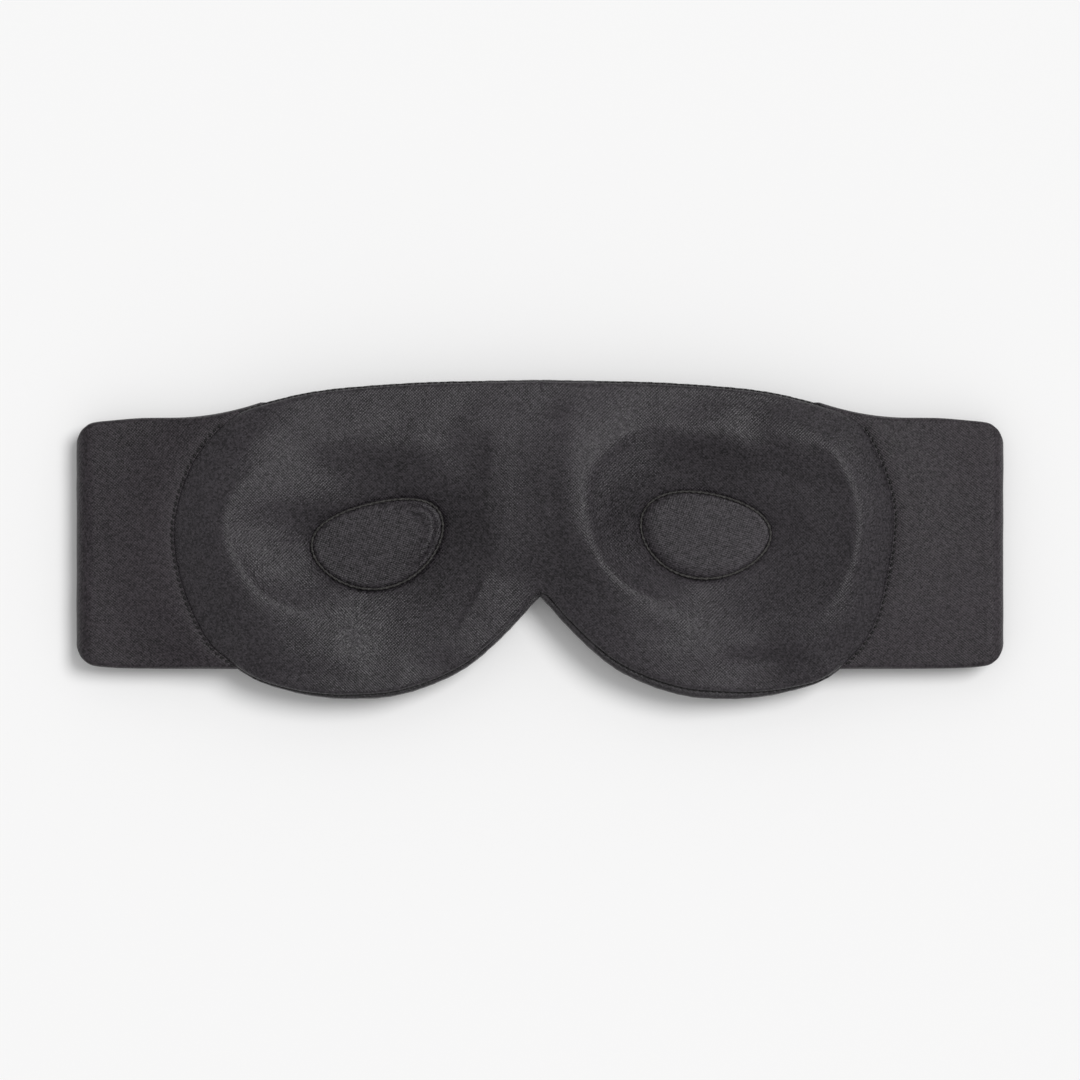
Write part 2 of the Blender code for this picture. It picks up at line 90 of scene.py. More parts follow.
# height of the rim of each bowl, by bearing from the window's centre: tall at the temples, low at brow and cheek
CREST = {
    1: [(-90, 16.4), (-62, 17.6), (-40, 19.4), (-15, 20.4), (20, 20.8), (45, 20.4), (68, 19.0), (85, 17.6), (105, 17.2), (122, 17.4), (140, 18.2), (160, 19.8), (180, 20.8), (205, 20.0), (225, 18.2), (245, 16.8)],
    -1: [(-130, 18.6), (-110, 16.8), (-85, 16.2), (-50, 16.4), (-20, 16.8), (20, 16.8), (60, 17.0), (95, 17.2), (120, 17.7), (142, 18.7), (160, 19.9), (178, 21.0), (195, 21.0), (212, 20.1)],
}
BRIDGE_Z = 16.6  # the pad over the nose
FLOOR_Z = 10.5  # where the covering meets a window
EDGE_ROUND = 1.0
SEAM_Z = 12.8  # top of the padding where a strap is sewn to it
# how far in from the outer edge the padding reaches its height: x, y, distance
RISE = [(-95, 0, 16.5), (-84, 24, 15.0), (-78, -28, 17.5), (93, 0, 12.0), (84, 26, 12.5), (80, -30, 14.5), (-48, 38, 14.0), (0, 38, 15.0), (50, 38, 14.0), (-52, -36, 18.0), (52, -36, 17.5), (-14, -20, 17.0), (14, -20, 15.0)]
# how crisp the rim of each bowl is, by bearing from the window's centre: (bearing, share), 1 is a crease and 0 a soft swell
CRISP = {
    1: [(-75, 0.0), (-52, 0.75), (-15, 1.0), (40, 1.0), (62, 0.35), (90, 0.05), (112, 0.25), (132, 1.0), (200, 1.0), (232, 0.85), (262, 0.0), (285, 0.0)],
    -1: [(-138, 0.75), (-124, 0.1), (-95, 0.0), (-50, 0.0), (0, 0.0), (60, 0.0), (110, 0.0), (140, 0.6), (165, 1.0), (205, 1.0), (300, 0.0)],
}
# soft creases in the covering: from, to, width, height
CREASES = [
    ((-13.3, -8.6), (-22.8, -25.2), 0.95, 0.62),
    ((-40.0, 14.5), (-24.0, 17.5), 3.4, 0.22),
    ((30.0, -22.0), (44.0, -23.0), 3.0, 0.25),
    ((60.0, -20.0), (70.0, -24.0), 2.6, 0.18),
]


def smooth(t):
    t = np.clip(t, 0.0, 1.0)
    return t * t * (3 - 2 * t)


def spline(points, per=12):
    p = np.array(points, float)
    p = np.vstack([2 * p[0] - p[1], p, 2 * p[-1] - p[-2]])
    out = []
    for a, b, c, d in zip(p, p[1:], p[2:], p[3:]):
        for n in range(per):
            t = n / per
            out.append(0.5 * (2 * b + (c - a) * t + (2 * a - 5 * b + 4 * c - d) * t * t + (3 * b - a - 3 * c + d) * t**3))
    out.append(p[-2])
    return np.array(out)


def run_of(line):
    return np.r_[0, np.cumsum(np.linalg.norm(np.diff(line, axis=0), axis=1))]


def resample(line, count):
    run = run_of(line)
    at = np.linspace(0, run[-1], count)
    return np.stack([np.interp(at, run, line[:, k]) for k in range(line.shape[1])], 1)


def shell_line(side):
    line = spline(TOP_EDGE + SIDE_EDGE[side] + BOTTOM_EDGE, 24)
    line[:, 0] = np.maximum(line[:, 0], 0)
    return line * (side, 1)


def outward(line, side):
    way = np.gradient(line, axis=0)
    way /= np.maximum(np.linalg.norm(way, axis=1), 1e-9)[:, None]
    return np.stack([-way[:, 1], way[:, 0]], 1) * side


def inset(line, side, amount):
    moved = line - outward(line, side) * np.asarray(amount, float).reshape(-1, 1)
    moved[:, 0] = side * np.maximum(moved[:, 0] * side, 0)
    return moved


def pad_line(side, more=0.0):
    line = shell_line(side)
    down = np.maximum(-outward(line, side)[:, 1], 0)
    fade = smooth((84 - np.abs(line[:, 0])) / 40)
    return inset(line, side, PAD_INSET + PAD_INSET_BOTTOM[side] * down * fade + more)


def egg(shape, angles):
    a, b, tilt, k, q, dx, dy = shape[2:]
    f = np.linspace(-math.pi, math.pi, 1441)
    x, y = a * np.cos(f), b * np.sin(f) * (1 + k * np.cos(f) - q * np.sin(f))
    t = math.radians(tilt)
    x, y = x * math.cos(t) - y * math.sin(t) + dx, x * math.sin(t) + y * math.cos(t) + dy
    polar, radius = np.arctan2(y, x), np.hypot(x, y)
    order = np.argsort(polar)
    polar, radius = polar[order], radius[order]
    return np.interp(angles, np.r_[polar - 2 * math.pi, polar, polar + 2 * math.pi], np.tile(radius, 3))


def edge_near(points, line):
    """Distance from each point to a polyline, and how far along the line the nearest point is."""
    a, b = line[:-1], line[1:]
    ab = b - a
    long = (ab * ab).sum(1)
    keep = long > 1e-12
    a, ab, long = a[keep], ab[keep], long[keep]
    start = np.r_[0, np.cumsum(np.sqrt(long))][:-1]
    dist, along = [], []
    for part in np.array_split(points, max(1, len(points) // 2000)):
        ap = part[:, None] - a[None]
        t = np.clip((ap * ab).sum(2) / long, 0, 1)
        d = np.sqrt(((ap - ab * t[..., None]) ** 2).sum(2))
        n = d.argmin(1)
        rows = np.arange(len(part))
        dist.append(d[rows, n])
        along.append(start[n] + t[rows, n] * np.sqrt(long[n]))
    return np.concatenate(dist), np.concatenate(along)


WHOLE_EDGE = np.vstack([resample(pad_line(1), 260)[::-1], resample(pad_line(-1), 260)[1:]])


def ripple(along, seed=0.0):
    """A smooth, irregular wave along a seam, between about -1 and 1."""
    s = seed
    return (np.sin(along * 1.13 + s) + 0.7 * np.sin(along * 1.93 + 2.1 * s + 1.0) + 0.5 * np.sin(along * 0.61 + 0.7 * s + 2.0) + 0.4 * np.sin(along * 3.1 + s * 3.7)) / 2.2


def drift(x, y, size, seed=0.0):
    """A slow unevenness over the cloth, between about -1 and 1."""
    k = 2 * math.pi / size
    return (np.sin(k * (x + 0.4 * y) + seed) * np.cos(k * (0.8 * y - 0.3 * x) + 1.7 * seed) + 0.6 * np.sin(k * 1.7 * (0.6 * x - y) + 2.3 * seed + 1.0)) / 1.6


def by_bearing(table, bearing, soft=8.0):
    """A table of (degrees, value) read at bearings in radians, with its corners smoothed."""
    table = np.array(table, float)
    full = np.vstack([table - (360, 0), table, table + (360, 0)])
    order = np.argsort(full[:, 0], kind="stable")
    at = np.arange(-180, 180)
    raw = np.interp(at, full[order, 0], full[order, 1])
    step = np.arange(-30, 31)
    weight = np.exp(-0.5 * (step / soft) ** 2)
    weight /= weight.sum()
    even = sum(w * np.roll(raw, k) for k, w in zip(step, weight))
    return np.interp(np.degrees(bearing), np.r_[at, 180], np.r_[even, even[0]])


def bulge(t, power=1.6):
    """0 at 0 and 1 at 1: steeper at first, still climbing at 1. A power near 1 is almost a straight slope."""
    t = np.clip(t, 0, 1.25)
    return (1 - np.maximum(1 - 0.8 * t, 0) ** power) / (1 - 0.2**power)


def rise_at(flat):
    spots = np.array(RISE, float)
    gap = ((flat[:, None] - spots[None, :, :2]) ** 2).sum(2) + 60.0
    weight = gap**-1.6
    return (weight * spots[:, 2]).sum(1) / weight.sum(1)


def edge_height(x, y):
    """Height of the padding's shoulder: thick along the brow and the lobes, thin where a strap is sewn on, low over the nose."""
    early = smooth(y / 20) * smooth(x / 20)
    side = smooth((np.abs(x) - 70 + 18 * early) / (21 + 16 * early))
    z = 15.2 + 0.004 * y
    z = z - 2.2 * np.exp(-((x / 15) ** 2) - ((y + 17) / 13) ** 2)

    return z + (SEAM_Z - z) * side


def creases(flat):
    out = np.zeros(len(flat))
    for a, b, width, high in CREASES:
        a, b = np.array(a), np.array(b)
        ab = b - a
        t = np.clip(((flat - a) @ ab) / (ab @ ab), 0, 1)
        gap = np.linalg.norm(flat - a - t[:, None] * ab, axis=1)
        ends = np.sin(math.pi * np.clip(t, 0.02, 0.98)) ** 0.6
        out += high * ends * np.exp(-((gap / width) ** 2))
    return out


def slack(x, y, side):
    """How far the padding hangs below its pattern at the slack fold in the lower part of each lobe."""
    if side > 0:
        return 1.8 * (1 - np.exp(-np.maximum(x - 47.4, 0) / 6.5)) * smooth((82 - x) / 18) * smooth((-y - 28) / 7)
    return 1.1 * (1 - np.exp(-np.maximum(x + 38.5, 0) / 6.0)) * smooth((-18 - x) / 12) * smooth((-y - 29) / 7)


def pad_top(flat, side):
    """Height of the covered padding, millimetres, at flat points of a half."""
    x, y = flat[:, 0], flat[:, 1]
    d, along = edge_near(flat, WHOLE_EDGE)
    cx, cy = WINDOW[side][:2]
    rel = flat - (cx, cy)
    r = np.maximum(np.hypot(rel[:, 0], rel[:, 1]), 1e-6)
    bearing = np.arctan2(rel[:, 1], rel[:, 0])
    inner = egg(WINDOW[side], bearing)
    outer = by_bearing(RIM[side], bearing, 5.0)
    v = (r - inner) / (outer - inner)
    nose = BRIDGE_Z + 3.2 * smooth((x + 8) / 21) * np.exp(-(((y - 8) / 30) ** 2))
    crest = nose + (by_bearing(CREST[side], bearing) - nose) * smooth((np.abs(x) - 3) / 12)
    edge = edge_height(x, y)
    outside = edge + (crest - edge) * bulge(d / rise_at(flat), 1.35)
    inside = FLOOR_Z + (crest - FLOOR_Z) * (bulge(v, 1.08 + 1.3 * (side < 0) * np.exp(-(((np.degrees(bearing) - 150) / 20) ** 2))) + 0.6 * np.maximum(v - 1.25, 0))
    crisp = by_bearing(CRISP[side], bearing)
    k = (4.4 - 2.6 * crisp) * (0.15 + 0.85 * smooth(np.abs(x) / 16))
    low = 0.5 * (inside + outside - np.sqrt((inside - outside) ** 2 + k * k))
    z = outside + (low - outside) * smooth(np.abs(x) / 7)
    # a fine ridge where the covering is drawn over the rim of the bowl
    z = z + 0.42 * crisp * np.exp(-(((r - outer) / 1.9) ** 2))
    # the covering is drawn down at the window's seam
    z = z - 0.60 * np.exp(-np.maximum(r - inner, 0) / 0.7)
    # small puckers where it is sewn, fading into the pad
    z = z + (0.14 - 0.09 * smooth((y - 20) / 12)) * ripple(along, 0.4) * np.exp(-d / 3.2)
    # the shoulder rounds over into the side wall
    t = np.clip(1 - d / EDGE_ROUND, 0, 1)
    z = z - EDGE_ROUND * (1 - np.sqrt(np.maximum(1 - t * t, 0)))
    z = z + 0.10 * ripple(bearing * 14, 1.9 + side) * np.exp(-np.maximum(r - inner, 0) / 2.6)
    z = z + 0.16 * drift(x, y, 34, 0.8) * smooth(d / 10) + creases(flat)
    # the brow bulges over the outer half of the right bowl and falls away towards the temple
    z = z + 2.0 * np.exp(-(((x - 50) / 16) ** 2) - ((y - 29.5) / 7.5) ** 2) * smooth(d / 6)
    return z - slack(x, y, side)


def free_share(flat):
    """0 at a seam and 1 well away from every seam, at flat points of either half."""
    share = smooth((edge_near(flat, WHOLE_EDGE)[0] - 1.0) / 7)
    for side in (1, -1):
        rel = flat - WINDOW[side][:2]
        gap = np.hypot(rel[:, 0], rel[:, 1]) - egg(WINDOW[side], np.arctan2(rel[:, 1], rel[:, 0]))
        share = share * smooth((gap - 0.6) / 6)
    return share


# ---------------------------------------------------------------- mesh helpers
def add(name, points, faces, smooth_faces=True):
    mesh = bpy.data.meshes.new(name)
    mesh.from_pydata([tuple(float(c) * MM for c in p) for p in points], [], faces)
    mesh.validate()
    work = bmesh.new()
    work.from_mesh(mesh)
    bmesh.ops.remove_doubles(work, verts=work.verts[:], dist=2e-7)
    bmesh.ops.recalc_face_normals(work, faces=work.faces[:])
    work.to_mesh(mesh)
    work.free()
    for face in mesh.polygons:
        face.use_smooth = smooth_faces
    obj = bpy.data.objects.new(name, mesh)
    bpy.context.scene.collection.objects.link(obj)
    return obj


def grid_faces(rows, cols, base=0, flip=False):
    faces = []
    for i in range(rows - 1):
        for j in range(cols - 1):
            a = base + i * cols + j
            f = (a, a + cols, a + cols + 1, a + 1)
            faces.append(f[::-1] if flip else f)
    return faces


def plate(name, top, bottom):
    """A closed solid between two grids of equal size."""
    rows, cols = top.shape[:2]
    size = rows * cols
    points = np.vstack([top.reshape(-1, 3), bottom.reshape(-1, 3)])
    faces = grid_faces(rows, cols) + grid_faces(rows, cols, size, True)
    rim = [j for j in range(cols)] + [i * cols + cols - 1 for i in range(1, rows)]
    rim += [(rows - 1) * cols + j for j in range(cols - 2, -1, -1)] + [i * cols for i in range(rows - 2, 0, -1)]
    for a, b in zip(rim, rim[1:] + rim[:1]):
        faces.append((a, b, size + b, size + a))
    return add(name, points, faces)


def loops_body(name, loops, closed=False):
    count = len(loops[0])
    points = [p for loop in loops for p in loop]
    faces = []
    rows = len(loops)
    for k in range(rows if closed else rows - 1):
        a, b = k * count, ((k + 1) % rows) * count
        for i in range(count):
            j = (i + 1) % count
            faces.append((a + i, a + j, b + j, b + i))
    if not closed:
        faces.append(tuple(range(count)))
        faces.append(tuple(range((rows - 1) * count, rows * count)))
    return add(name, points, faces)


def capsules(name, places, radius, sides=7):
    """Many short threads: places holds (start, end, arch) in millimetres; each bows up by its arch."""
    points, faces = [], []
    for start, end, arch in places:
        start, end = np.array(start, float), np.array(end, float)
        along = end - start
        long = np.linalg.norm(along)
        along /= long
        across = np.cross((0, 0, 1.0), along)
        across /= max(np.linalg.norm(across), 1e-9)
        up = np.cross(along, across)
        base = len(points)
        steps = [0.0, 0.06, 0.2, 0.5, 0.8, 0.94, 1.0]
        width = [0.25, 0.68, 0.95, 1.0, 0.95, 0.68, 0.25]
        for t, w in zip(steps, width):
            c = start + along * long * t + up * arch * (1 - (2 * t - 1) ** 2)
            for k in range(sides):
                a = 2 * math.pi * k / sides
                points.append(c + radius * w * (math.cos(a) * across + math.sin(a) * up))
        for n in range(len(steps) - 1):
            for k in range(sides):
                i, j = base + n * sides + k, base + n * sides + (k + 1) % sides
                faces.append((i, j, j + sides, i + sides))
        faces.append(tuple(base + k for k in range(sides)))
        faces.append(tuple(base + (len(steps) - 1) * sides + k for k in reversed(range(sides))))
    return add(name, points, faces)


def twisted(name, path, radius, pitch, sides=10, closed=True, plies=2):
    """A cord of twisted plies along a path: its section is lobed and turns as it goes."""
    path = np.asarray(path, float)
    n = len(path)
    loop = np.vstack([path, path[:1]]) if closed else path
    run = run_of(loop)
    if closed:
        turns = max(1, round(run[-1] / pitch))
        pitch = run[-1] / turns
    loops = []
    for i, p in enumerate(path):
        along = path[(i + 1) % n] - path[i - 1] if closed else path[min(i + 1, n - 1)] - path[max(i - 1, 0)]
        along = along / np.linalg.norm(along)
        across = np.cross((0, 0, 1.0), along)
        across /= np.linalg.norm(across)
        up = np.cross(along, across)
        spin = 2 * math.pi * run[i] / pitch
        ring = []
        for k in range(sides):
            a = 2 * math.pi * k / sides
            r = radius * (0.80 + 0.20 * math.cos(plies * a - spin))
            ring.append(p + r * (math.cos(a) * across + math.sin(a) * up))
        loops.append(ring)
    return loops_body(name, loops, closed)


# ---------------------------------------------------------------- materials
def node(tree, kind, where, **values):
    n = tree.nodes.new(kind)
    n.location = where
    for key, value in values.items():
        setattr(n, key, value)
    return n


def cloth(name, dark, light, cells=2250.0, weave=0.66, bump=0.9, depth=0.00010, rough=(0.32, 0.40), sheen=0.0, specular=0.28, patch=26.0, spread=0.42, ribs=None, turn=45.0, thread=0.44):
    """Procedural cloth: fine knitted cells that differ in shade and stand up a little, a crossed weave through them,
    slow patches of colour and of gloss. cells is loops per metre, weave the spacing of the threads in millimetres."""
    m = bpy.data.materials.new(name)
    m.use_nodes = True
    t = m.node_tree
    shader = t.nodes["Principled BSDF"]
    shader.inputs["Sheen Weight"].default_value = sheen
    shader.inputs["Sheen Roughness"].default_value = 0.5
    shader.inputs["Specular IOR Level"].default_value = specular
    co = node(t, "ShaderNodeTexCoord", (-1500, 0))
    loop = node(t, "ShaderNodeTexVoronoi", (-1050, 300), feature="F1")
    loop.inputs["Scale"].default_value = cells
    loop.inputs["Randomness"].default_value = 0.85
    slow = node(t, "ShaderNodeTexNoise", (-1050, 0))
    slow.inputs["Scale"].default_value = patch
    slow.inputs["Detail"].default_value = 3.0
    t.links.new(co.outputs["Object"], loop.inputs["Vector"])
    t.links.new(co.outputs["Object"], slow.inputs["Vector"])
    split = node(t, "ShaderNodeSeparateColor", (-880, 340))
    t.links.new(loop.outputs["Color"], split.inputs["Color"])
    # colour: each loop's own shade over slow patches
    mixed = node(t, "ShaderNodeMath", (-720, 240), operation="MULTIPLY_ADD")
    t.links.new(split.outputs["Red"], mixed.inputs[0])
    mixed.inputs[1].default_value = spread
    calm = node(t, "ShaderNodeMath", (-880, 120), operation="MULTIPLY_ADD")
    t.links.new(slow.outputs["Fac"], calm.inputs[0])
    calm.inputs[1].default_value = 0.35
    calm.inputs[2].default_value = 0.325
    t.links.new(calm.outputs[0], mixed.inputs[2])
    ramp = node(t, "ShaderNodeValToRGB", (-560, 200))
    ramp.color_ramp.elements[0].position = 0.5 + 0.5 * spread - 0.5 * spread - 0.06
    ramp.color_ramp.elements[1].position = 0.5 + 0.5 * spread + 0.5 * spread + 0.06
    ramp.color_ramp.elements[0].color = (*dark, 1)
    ramp.color_ramp.elements[1].color = (*light, 1)
    t.links.new(mixed.outputs[0], ramp.inputs["Fac"])
    t.links.new(ramp.outputs["Color"], shader.inputs["Base Color"])
    rmap = node(t, "ShaderNodeMapRange", (-560, -60))
    rmap.inputs["From Min"].default_value = 0.35
    rmap.inputs["From Max"].default_value = 0.65
    rmap.inputs["To Min"].default_value = rough[0]
    rmap.inputs["To Max"].default_value = rough[1]
    t.links.new(slow.outputs["Fac"], rmap.inputs["Value"])
    t.links.new(rmap.outputs["Result"], shader.inputs["Roughness"])
    # relief: loops and two crossed sets of threads, turned to run with the cloth
    spin = node(t, "ShaderNodeMapping", (-1300, -400))
    spin.inputs["Rotation"].default_value = (0.0, 0.0, math.radians(turn))
    t.links.new(co.outputs["Object"], spin.inputs["Vector"])
    wa = node(t, "ShaderNodeTexWave", (-1050, -300), wave_type="BANDS", bands_direction="X")
    wb = node(t, "ShaderNodeTexWave", (-1050, -600), wave_type="BANDS", bands_direction="Y")
    for w, share in ((wa, 1.0), (wb, 0.86)):
        w.inputs["Scale"].default_value = 2 * math.pi / 20 / (weave * share * MM)
        w.inputs["Distortion"].default_value = 1.6
        w.inputs["Detail"].default_value = 1.0
        w.inputs["Detail Scale"].default_value = 0.6
        t.links.new(spin.outputs["Vector"], w.inputs["Vector"])
    both = node(t, "ShaderNodeMath", (-800, -400), operation="ADD")
    t.links.new(wa.outputs["Fac"], both.inputs[0])
    t.links.new(wb.outputs["Fac"], both.inputs[1])
    hill = node(t, "ShaderNodeMath", (-800, -160), operation="MULTIPLY")
    t.links.new(loop.outputs["Distance"], hill.inputs[0])
    hill.inputs[1].default_value = -0.75
    height = node(t, "ShaderNodeMath", (-560, -350), operation="MULTIPLY_ADD")
    t.links.new(both.outputs[0], height.inputs[0])
    height.inputs[1].default_value = thread
    t.links.new(hill.outputs[0], height.inputs[2])
    last = height
    if ribs:
        wr = node(t, "ShaderNodeTexWave", (-800, -700), wave_type="BANDS", bands_direction=ribs[0])
        wr.inputs["Scale"].default_value = ribs[1]
        wr.inputs["Distortion"].default_value = 0.4
        t.links.new(co.outputs["Object"], wr.inputs["Vector"])
        more = node(t, "ShaderNodeMath", (-380, -450), operation="MULTIPLY_ADD")
        t.links.new(wr.outputs["Fac"], more.inputs[0])
        more.inputs[1].default_value = ribs[2]
        t.links.new(height.outputs[0], more.inputs[2])
        last = more
    b = node(t, "ShaderNodeBump", (-300, -250))
    b.inputs["Strength"].default_value = bump
    b.inputs["Distance"].default_value = depth
    t.links.new(last.outputs[0], b.inputs["Height"])
    t.links.new(b.outputs["Normal"], shader.inputs["Normal"])
    return m


LINER = cloth("satin_liner", (0.0038, 0.0033, 0.0039), (0.0472, 0.0416, 0.0478))
WINDOW_CLOTH = cloth("window_satin", (0.0040, 0.0035, 0.0041), (0.0560, 0.0500, 0.0566), rough=(0.36, 0.44), specular=0.20, turn=20.0)
STRAP = cloth("strap_knit", (0.0056, 0.0046, 0.0055), (0.0460, 0.0388, 0.0450), cells=2200.0, depth=0.00010, rough=(0.40, 0.48), specular=0.22, turn=38.0)
SHELL = cloth("shell_satin", (0.0055, 0.0048, 0.0056), (0.0400, 0.0358, 0.0404), rough=(0.36, 0.48))
ELASTIC = cloth("ribbed_elastic", (0.0045, 0.0043, 0.0045), (0.0220, 0.0212, 0.0220), rough=(0.55, 0.7), ribs=("Y", 160.0, 2.2), bump=0.6, depth=0.0003, turn=0.0)
CORD = cloth("seam_cord", (0.014, 0.0133, 0.0130), (0.060, 0.0570, 0.0545), cells=2600.0, weave=0.4, depth=0.0001, rough=(0.45, 0.6))
THREAD = cloth("stitch_thread", (0.004, 0.0038, 0.0040), (0.018, 0.0172, 0.0177), cells=3000.0, weave=0.35, depth=0.0001, rough=(0.4, 0.6))
HOOK = cloth("hook_tape", (0.004, 0.0040, 0.0043), (0.028, 0.0273, 0.0280), cells=900.0, weave=1.4, rough=(0.3, 0.5), depth=0.0006, turn=0.0, thread=0.6)
LOOP = cloth("loop_nap", (0.006, 0.0058, 0.0060), (0.030, 0.0290, 0.0296), cells=1100.0, weave=2.0, rough=(0.75, 0.9), depth=0.0007, sheen=0.3)


def dress(obj, material):
    obj.data.materials.clear()
    obj.data.materials.append(material)
    return obj


# ---------------------------------------------------------------- the covered pad, both halves as one piece
NE, NI, K = 230, 46, 46  # points along a half's edge, up its middle, and rings from window to edge


def half_layout(side, edge_line, ne=NE, ni=NI):
    """A half's outline as a loop, its window centre, unit ways out and window radii."""
    edge = resample(edge_line, ne)
    edge[0, 0] = edge[-1, 0] = 0.0
    top, low = edge[0], edge[-1]
    up = np.linspace(low, top, ni + 2)[1:-1]
    loop = np.vstack([edge, up])
    centre = np.array(WINDOW[side][:2])
    rel = loop - centre
    far = np.hypot(rel[:, 0], rel[:, 1])
    way = rel / far[:, None]
    inner = egg(WINDOW[side], np.arctan2(rel[:, 1], rel[:, 0]))
    return loop, centre, way, far, inner


def build_pad():
    points, faces = [], []
    for side in (1, -1):
        loop, centre, way, far, inner = half_layout(side, pad_line(side))
        n = len(loop)
        out = outward(loop[:NE], side)
        out[0], out[-1] = (0, 1), (0, -1)
        # stations crowd at the window's seam and at the outer edge
        t = np.linspace(0, 1, K)
        t = t + 0.06 * np.sin(2 * math.pi * t) * -1
        last_in = 1 - 1.9 / (far - inner)
        rings = []
        for k in list(t[:-1]):
            flat = centre + way * (inner + (far - inner) * last_in * k / t[-2])[:, None]
            rings.append(np.column_stack([flat, pad_top(flat, side)]))
        for back in (1.35, 0.95, 0.6, 0.34, 0.15, 0.04, 0.0):
            flat = centre + way * (far - back)[:, None]
            if back == 0:
                flat = loop
            rings.append(np.column_stack([flat, pad_top(flat, side)]))
        # a recess under the window panel
        well = centre + way * (inner - 0.5)[:, None]
        rings.insert(0, np.column_stack([well, np.full(n, 9.4)]))
        base = len(points)
        points += [p for ring in rings for p in ring]
        for k in range(len(rings) - 1):
            for i in range(n):
                j = (i + 1) % n
                a, b = base + k * n, base + (k + 1) * n
                faces.append((a + i, a + j, b + j, b + i))
        faces.append(tuple(base + i for i in range(n)))
        # the edge rolls under to meet the shell
        last = base + (len(rings) - 1) * n
        previous = list(range(last, last + NE))
        start_z = pad_top(loop[:NE], side)
        for push, drop in ((0.0, 0.2), (-0.06, 0.45), (-0.3, 0.65), (-1.2, 0.75), (-3.5, 0.75)):
            ring = loop[:NE] + out * push
            ring[0, 0] = ring[-1, 0] = 0.0
            here = len(points)
            points += [(p[0], p[1], h - drop if push > -2 else 9.05) for p, h in zip(ring, start_z)]
            for i in range(NE - 1):
                faces.append((previous[i], previous[i + 1], here + i + 1, here + i))
            previous = list(range(here, here + NE))
        # the underside, in rings like the top
        rim = np.array([points[i] for i in previous])[:, :2]
        rim = np.vstack([rim, np.linspace(rim[-1], rim[0], n - NE + 2)[1:-1]])
        previous += list(range(len(points), len(points) + n - NE))
        points += [(p[0], p[1], 9.05) for p in rim[NE:]]
        for share in (0.93, 0.85, 0.75, 0.6, 0.35, 0.1):
            here = len(points)
            points += [(p[0], p[1], 9.05) for p in centre + (rim - centre) * share]
            for i in range(n):
                j = (i + 1) % n
                faces.append((previous[i], previous[j], here + j, here + i))
            previous = list(range(here, here + n))
        faces.append(tuple(previous))
    pad = add("face_liner", points, faces)
    dress(pad, LINER)
    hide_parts("right_face_liner", "left_face_liner", "right_foam_pad", "left_foam_pad", "nose_bridge_pad", "right_blackout_lining", "left_blackout_lining")
    return pad


CAP = 0.9  # the furthest the cover may move from its pattern


def settle(obj):
    """Cloth run on the padding's cover: a coarse copy is blown out against its seams, and the way it moves is given to the fine mesh."""
    scene = bpy.context.scene
    copy = bpy.data.objects.new("cover_source", obj.data.copy())
    scene.collection.objects.link(copy)
    remesh = copy.modifiers.new("remesh", "REMESH")
    remesh.mode = "VOXEL"
    remesh.voxel_size = 0.0045
    graph = bpy.context.evaluated_depsgraph_get()
    mesh = bpy.data.meshes.new_from_object(copy.evaluated_get(graph))
    bpy.data.objects.remove(copy)
    cover = bpy.data.objects.new("cover_cloth", mesh)
    scene.collection.objects.link(cover)
    start = np.array([v.co[:] for v in mesh.vertices]) / MM
    normal = np.array([v.normal[:] for v in mesh.vertices])
    free = free_share(start[:, :2]) * (normal[:, 2] > 0.35)
    held = cover.vertex_groups.new(name="held")
    for k, share in enumerate(free):
        held.add([k], float(1 - share), "REPLACE")
    cloth_run = cover.modifiers.new("cloth", "CLOTH")
    cloth_run.settings.quality = 6
    cloth_run.settings.mass = 0.02
    cloth_run.settings.tension_stiffness = 5
    cloth_run.settings.compression_stiffness = 5
    cloth_run.settings.bending_stiffness = 0.05
    cloth_run.settings.shrink_min = -0.012
    cloth_run.settings.use_pressure = True
    cloth_run.settings.uniform_pressure_force = 4.0
    cloth_run.settings.vertex_group_mass = "held"
    cloth_run.settings.effector_weights.gravity = 0.0
    cloth_run.point_cache.frame_start = 1
    cloth_run.point_cache.frame_end = 20
    for number in range(1, 21):
        scene.frame_set(number)
    graph = bpy.context.evaluated_depsgraph_get()
    moved = cover.evaluated_get(graph).to_mesh()
    end = np.array([v.co[:] for v in moved.vertices]) / MM
    cover.evaluated_get(graph).to_mesh_clear()
    bpy.data.objects.remove(cover)
    scene.frame_set(1)
    shift = end - start
    top = normal[:, 2] > 0.35
    tree = KDTree(int(top.sum()))
    for k, p in enumerate(start[top]):
        tree.insert(p, k)
    tree.balance()
    shift = shift[top]
    fine = np.array([v.co[:] for v in obj.data.vertices]) / MM
    up = np.array([v.normal[:] for v in obj.data.vertices])[:, 2] > 0.2
    share = free_share(fine[:, :2]) * up
    out = np.zeros_like(fine)
    for k in np.nonzero(share > 0.001)[0]:
        near = tree.find_n(fine[k], 14)
        weight = np.array([math.exp(-((gap / 4.5) ** 2)) for _, _, gap in near]) + 1e-9
        out[k] = (weight[:, None] * shift[[i for _, i, _ in near]]).sum(0) / weight.sum()
    out *= np.minimum(1, CAP / np.maximum(np.linalg.norm(out, axis=1), 1e-9))[:, None]
    obj.data.vertices.foreach_set("co", ((fine + out) * MM).ravel())
    obj.data.update()


pad = build_pad()
settle(pad)
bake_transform(pad)


